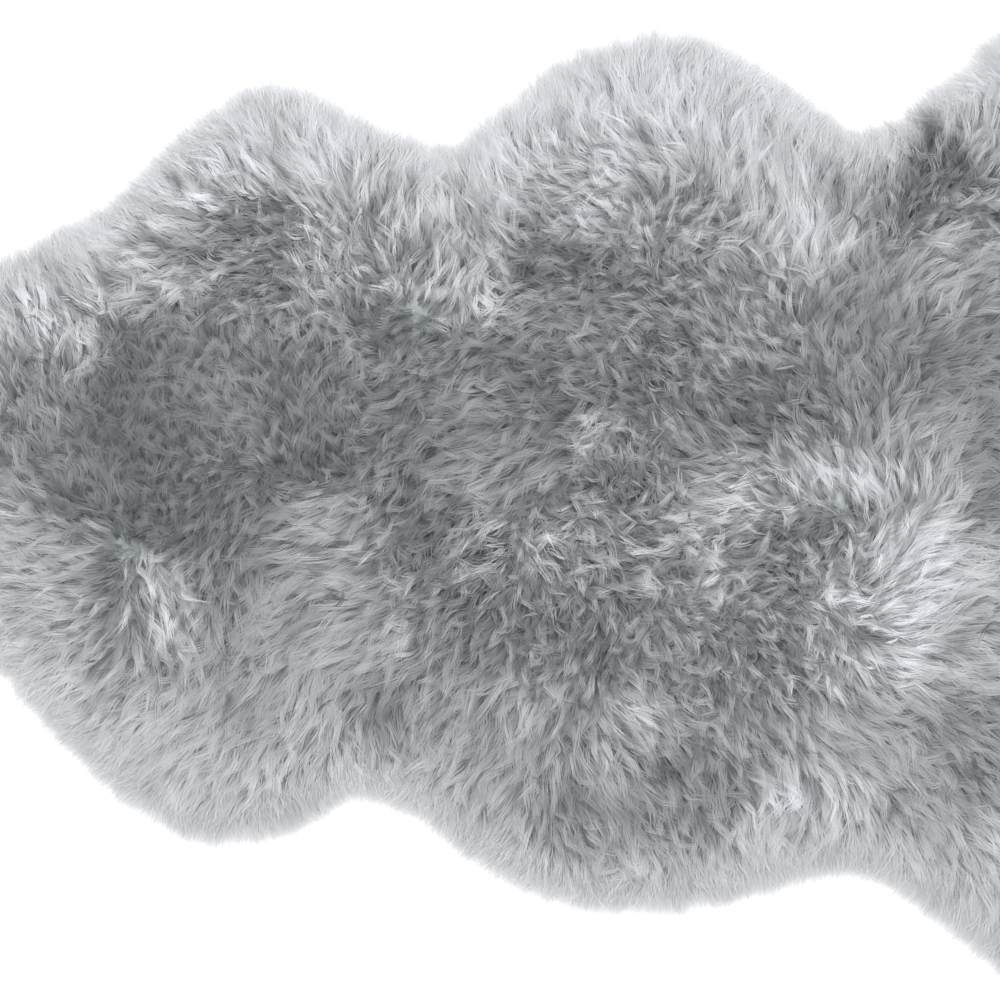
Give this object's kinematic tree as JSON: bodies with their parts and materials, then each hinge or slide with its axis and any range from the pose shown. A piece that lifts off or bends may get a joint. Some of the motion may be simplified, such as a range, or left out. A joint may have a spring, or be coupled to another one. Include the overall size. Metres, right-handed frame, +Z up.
{
  "type": "sheepskin rug",
  "caption": "Flat one-piece sheepskin rug with deep grey wool on top, lobed along both sides, narrow at the neck and broad at the rump.",
  "frame": {"origin": "on the floor under the middle of the rug's box, on its flesh side", "axes": "+X from the neck to the rump, +Y towards the left flank, +Z up out of the wool"},
  "size_m": [0.9545, 0.6798, 0.0509],
  "materials": {
    "wool": "soft long grey wool, lustrous at the tips and darker at the roots",
    "hide": "matt suede flesh side"
  },
  "bodies": {
    "root": {"sheepskin": "wool"}
  },
  "joints": []
}
